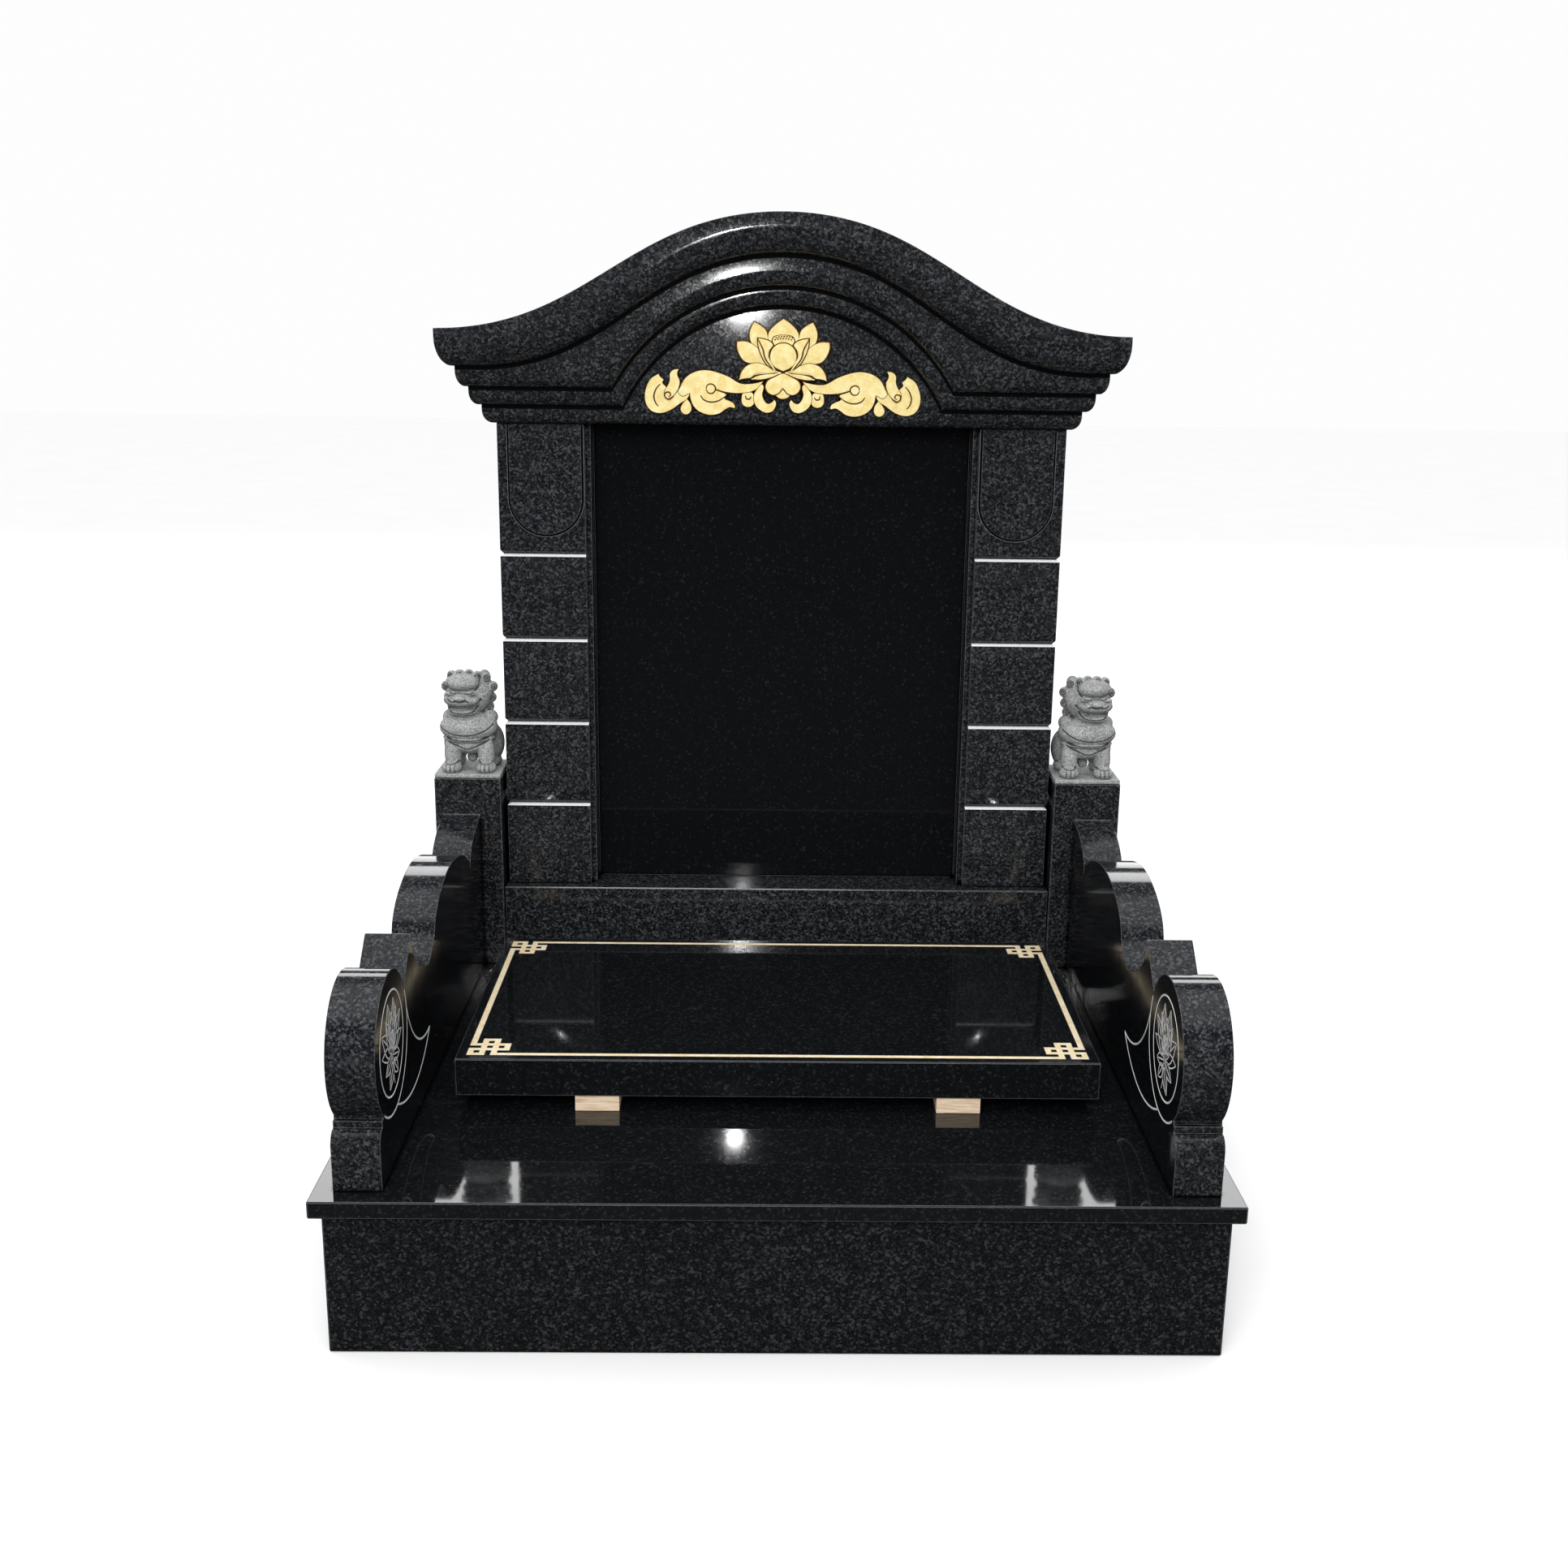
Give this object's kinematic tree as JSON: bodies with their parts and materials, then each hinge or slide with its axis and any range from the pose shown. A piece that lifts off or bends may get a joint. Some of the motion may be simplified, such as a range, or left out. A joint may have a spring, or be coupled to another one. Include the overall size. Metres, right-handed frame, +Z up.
{
  "type": "stele",
  "caption": "Polished black granite tomb stele with a wave-shaped roof, a framed bare panel, lion-topped posts, carved side slabs and a raised cover slab on a plinth.",
  "frame": {"origin": "middle of the plinth's underside, on the ground", "axes": "+X to the right of someone facing the inscription panel, the front facing -Y, +Z up"},
  "size_m": [1.5, 1.4, 1.848],
  "materials": {
    "black_granite": "polished black granite with fine grey speckle",
    "grey_granite": "fine-grained grey granite, carved and unpolished",
    "pale_wood": "rough-sawn pale timber"
  },
  "bodies": {
    "root": {"plinth": "black_granite", "platform_slab": "black_granite", "stele_base": "black_granite", "pillar_left": "black_granite", "pillar_right": "black_granite", "inscription_panel": "black_granite", "roof": "black_granite", "post_left": "black_granite", "post_right": "black_granite", "lion_left": "grey_granite", "lion_right": "grey_granite", "balustrade_left": "black_granite", "balustrade_right": "black_granite", "cover_slab": "black_granite", "wood_block_front_left": "pale_wood", "wood_block_front_right": "pale_wood", "wood_block_back_left": "pale_wood", "wood_block_back_right": "pale_wood"}
  },
  "joints": []
}
